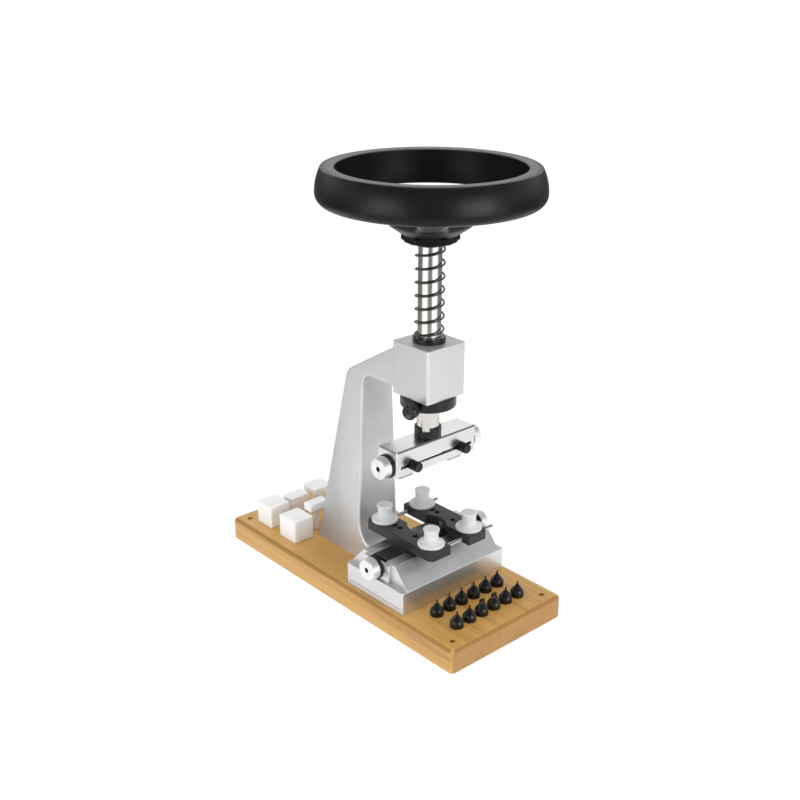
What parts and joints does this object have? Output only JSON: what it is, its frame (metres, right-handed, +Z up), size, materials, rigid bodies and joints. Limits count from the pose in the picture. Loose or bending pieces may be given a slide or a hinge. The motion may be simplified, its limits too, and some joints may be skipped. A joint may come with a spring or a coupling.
{
  "type": "watch case press",
  "caption": "Bench press for screwed watch case backs: handwheel on a sprung spindle, crosshead with sliding jaws, post vise, column and wooden board.",
  "frame": {"origin": "centre of the wooden board's underside, at bench level", "axes": "+Z up along the spindle, +X to the right seen from the vise end, +Y to the rear"},
  "size_m": [0.166, 0.28, 0.351],
  "materials": {
    "varnished_wood": "honey-coloured varnished board, fine straight grain",
    "silver_casting": "satin silver, lightly brushed",
    "machined_aluminium": "milled and lightly polished",
    "polished_steel": "ground and polished",
    "turned_knob": "turned, bright satin",
    "black_oxide": "black, semi-matt",
    "black_bar": "black anodised, satin",
    "black_enamel": "smooth black enamel, semi-gloss",
    "spring_steel": "dark oiled wire",
    "zinc_screw": "zinc plated",
    "jaw_metal": "milled",
    "white_nylon": "white nylon, sawn and eased",
    "milky_nylon": "turned nylon, milky and slightly translucent, satin"
  },
  "bodies": {
    "press_frame": {"base_board": "varnished_wood", "frame_casting": "silver_casting", "frame_screws": "zinc_screw", "head_bush": "black_oxide", "lock_ring": "black_oxide", "return_spring": "spring_steel", "vise_body": "machined_aluminium", "vise_bolts": "zinc_screw", "vise_plate_left": "machined_aluminium", "vise_plate_right": "machined_aluminium", "vise_plate_screws": "zinc_screw", "vise_ring_left": "black_oxide", "vise_ring_right": "black_oxide", "cube_front_left": "white_nylon", "cube_rear_left": "white_nylon", "tee_block_front": "white_nylon", "tee_block_rear": "white_nylon", "tee_block_right": "white_nylon", "bit_pair_1": "black_oxide", "bit_pair_2": "black_oxide", "bit_pair_3": "black_oxide", "bit_pair_4": "black_oxide", "bit_pair_5": "black_oxide", "bit_pair_6": "black_oxide"},
    "lock_thumb_screw": {"lock_screw": "black_oxide"},
    "spring_seat": {"spring_cap": "spring_steel"},
    "press_head": {"spindle": "polished_steel", "hub_nut": "black_enamel", "handwheel": "black_enamel", "wheel_washer": "zinc_screw", "wheel_screw": "zinc_screw", "coupling_collar": "black_oxide", "spindle_bolt": "zinc_screw", "chuck_body": "machined_aluminium", "chuck_bush_left": "black_oxide", "chuck_bush_right": "black_oxide"},
    "chuck_lead_screw": {"chuck_screw": "black_oxide", "chuck_knob_left": "turned_knob", "chuck_knob_right": "turned_knob", "chuck_set_screws": "black_oxide"},
    "chuck_jaw_left": {"jaw_left": "jaw_metal"},
    "chuck_jaw_right": {"jaw_right": "jaw_metal"},
    "jaw_clamp_left": {"thumb_screw_left": "black_oxide"},
    "jaw_clamp_right": {"thumb_screw_right": "black_oxide"},
    "vise_lead_screw": {"vise_screw": "black_oxide", "vise_knob_left": "turned_knob", "vise_knob_right": "turned_knob", "vise_set_screws": "black_oxide"},
    "vise_jaw_left": {"slide_left": "black_bar", "slide_pins_left": "polished_steel", "bar_left": "black_bar", "guide_rod_front": "polished_steel", "guide_rod_rear": "polished_steel"},
    "vise_jaw_right": {"slide_right": "black_bar", "slide_pins_right": "polished_steel", "bar_right": "black_bar"},
    "post_fl": {"post_front_left": "milky_nylon"},
    "post_fr": {"post_front_right": "milky_nylon"},
    "post_rl": {"post_rear_left": "milky_nylon"},
    "post_rr": {"post_rear_right": "milky_nylon"}
  },
  "joints": [
    {"name": "press_stroke", "type": "slide", "parent": "press_frame", "child": "spring_seat", "axis": [0, 0, -1], "range_m": [0, 0.036], "stiffness_N_per_m": 280, "springref_m": -0.05, "deforming": ["return_spring"]},
    {"name": "press_turn", "type": "hinge", "parent": "spring_seat", "child": "press_head", "pos_m": [0, -0.0475, 0.26], "axis": [0, 0, 1], "continuous": true},
    {"name": "chuck_screw_turn", "type": "hinge", "parent": "press_head", "child": "chuck_lead_screw", "pos_m": [0, -0.0475, 0.1308], "axis": [1, 0, 0], "range_deg": [-540.5, 2880.5]},
    {"name": "jaw_left_slide", "type": "slide", "parent": "press_head", "child": "chuck_jaw_left", "axis": [1, 0, 0], "range_m": [-0.003, 0.016]},
    {"name": "jaw_right_slide", "type": "slide", "parent": "press_head", "child": "chuck_jaw_right", "axis": [-1, 0, 0], "range_m": [-0.00301, 0.01601]},
    {"name": "jaw_clamp_left_turn", "type": "hinge", "parent": "chuck_jaw_left", "child": "jaw_clamp_left", "pos_m": [-0.0256, -0.06, 0.1308], "axis": [0, -1, 0], "range_deg": [0, 540]},
    {"name": "jaw_clamp_right_turn", "type": "hinge", "parent": "chuck_jaw_right", "child": "jaw_clamp_right", "pos_m": [0.0256, -0.06, 0.1308], "axis": [0, -1, 0], "range_deg": [0, 540]},
    {"name": "lock_screw_turn", "type": "hinge", "parent": "press_frame", "child": "lock_thumb_screw", "pos_m": [-0.02324, -0.0567, 0.1747], "axis": [-0.9298, -0.3681, 0], "range_deg": [0, 720]},
    {"name": "vise_screw_turn", "type": "hinge", "parent": "press_frame", "child": "vise_lead_screw", "pos_m": [0, -0.0475, 0.049], "axis": [1, 0, 0], "range_deg": [-270.5, 1620.5]},
    {"name": "vise_left_slide", "type": "slide", "parent": "press_frame", "child": "vise_jaw_left", "axis": [1, 0, 0], "range_m": [-0.0015, 0.009]},
    {"name": "vise_right_slide", "type": "slide", "parent": "press_frame", "child": "vise_jaw_right", "axis": [-1, 0, 0], "range_m": [-0.00151, 0.00901]},
    {"name": "post_fl_turn", "type": "hinge", "parent": "vise_jaw_left", "child": "post_fl", "pos_m": [-0.02035, -0.0745, 0.07], "axis": [0, 0, 1], "continuous": true},
    {"name": "post_fr_turn", "type": "hinge", "parent": "vise_jaw_right", "child": "post_fr", "pos_m": [0.02035, -0.0745, 0.07], "axis": [0, 0, 1], "continuous": true},
    {"name": "post_rl_turn", "type": "hinge", "parent": "vise_jaw_left", "child": "post_rl", "pos_m": [-0.02035, -0.0205, 0.07], "axis": [0, 0, 1], "continuous": true},
    {"name": "post_rr_turn", "type": "hinge", "parent": "vise_jaw_right", "child": "post_rr", "pos_m": [0.02035, -0.0205, 0.07], "axis": [0, 0, 1], "continuous": true}
  ],
  "couplings": [
    {"joint": "chuck_screw_turn", "follows": "jaw_left_slide", "rad_per_m": 3141.6},
    {"joint": "jaw_right_slide", "follows": "jaw_left_slide", "ratio": 1},
    {"joint": "vise_screw_turn", "follows": "vise_left_slide", "rad_per_m": 3141.6},
    {"joint": "vise_right_slide", "follows": "vise_left_slide", "ratio": 1}
  ]
}
